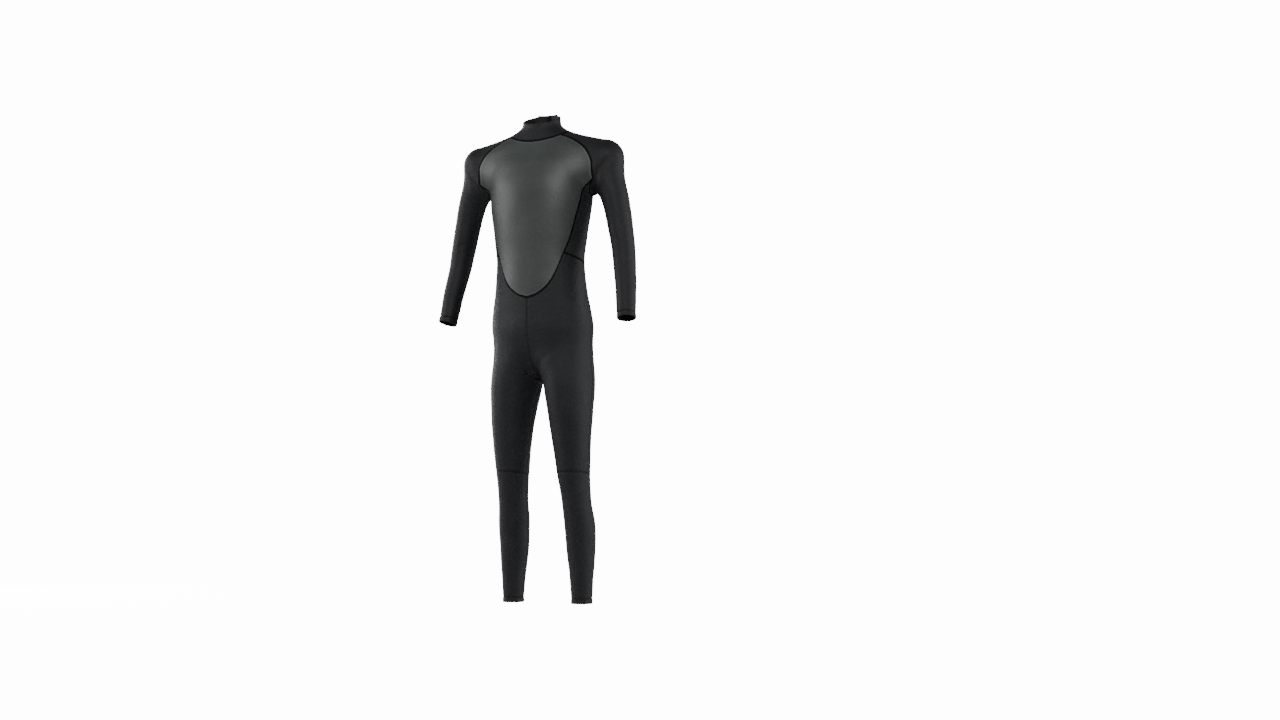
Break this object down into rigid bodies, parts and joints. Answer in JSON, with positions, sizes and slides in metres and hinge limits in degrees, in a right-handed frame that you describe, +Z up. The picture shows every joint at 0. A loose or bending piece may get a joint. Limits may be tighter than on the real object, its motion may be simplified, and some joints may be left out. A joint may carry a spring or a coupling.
{
  "type": "full wetsuit",
  "caption": "Full-length neoprene wetsuit with raglan sleeves, a teardrop smooth-skin chest panel, a stand collar with a rear closure flap and a back zip with a long pull strap.",
  "frame": {"origin": "the point between the shoulders, level with the neckline, from which the suit hangs as worn", "axes": "+Z up towards the collar, -Y the front of the suit, +X the wearer's left"},
  "size_m": [0.6428, 0.2435, 1.475],
  "materials": {
    "neoprene": "black knit-faced neoprene, faint violet sheen",
    "smoothskin": "dark grey-green smooth-skin neoprene, satin gloss",
    "lining": "black knit lining",
    "hem": "turned and stitched black neoprene",
    "hook_and_loop": "matt black hook and loop",
    "zip_tape": "black woven tape",
    "zip_teeth": "moulded black plastic",
    "zip_metal": "black painted metal",
    "webbing": "black woven polyester webbing"
  },
  "bodies": {
    "suit": {"ankle_hem_l": "hem", "ankle_hem_r": "hem", "back_leg_l": "neoprene", "back_leg_r": "neoprene", "back_panel_l": "neoprene", "back_panel_r": "neoprene", "bottom_stop": "zip_metal", "chest_panel": "smoothskin", "collar": "neoprene", "front_leg_l": "neoprene", "front_leg_r": "neoprene", "loop_patch": "hook_and_loop", "lower_leg_l": "neoprene", "lower_leg_r": "neoprene", "side_panel_l": "neoprene", "side_panel_r": "neoprene", "sleeve_l": "neoprene", "sleeve_r": "neoprene", "top_stop_l": "zip_metal", "top_stop_r": "zip_metal", "wrist_hem_l": "hem", "wrist_hem_r": "hem", "zip_backing": "lining", "zip_end_patch": "hem", "zip_tape_l": "zip_tape", "zip_tape_r": "zip_tape", "zip_teeth_l": "zip_teeth", "zip_teeth_r": "zip_teeth"},
    "slider": {"zip_slider": "zip_metal"},
    "tab": {"pull_tab": "zip_metal"},
    "strap": {"pull_strap": "webbing"},
    "flap": {"collar_flap": "lining", "hook_patch": "hook_and_loop"}
  },
  "joints": [
    {"name": "zip_travel", "type": "hinge", "parent": "suit", "child": "slider", "pos_m": [0, -0.884, -0.2], "axis": [1, 0, 0], "range_deg": [-22.5, 0]},
    {"name": "tab_swing", "type": "hinge", "parent": "slider", "child": "tab", "pos_m": [0, 0.10015, -0.00232], "axis": [1, 0, 0], "range_deg": [0, 75]},
    {"name": "strap_drop", "type": "hinge", "parent": "tab", "child": "strap", "pos_m": [0, 0.10597, -0.03175], "axis": [1, 0, 0], "range_deg": [0, 37]},
    {"name": "flap_open", "type": "hinge", "parent": "suit", "child": "flap", "pos_m": [0.046, 0.062, 0.068], "axis": [0, 0, -1], "range_deg": [0, 100]}
  ],
  "couplings": [
    {"joint": "strap_drop", "follows": "zip_travel", "ratio": -1.6}
  ]
}
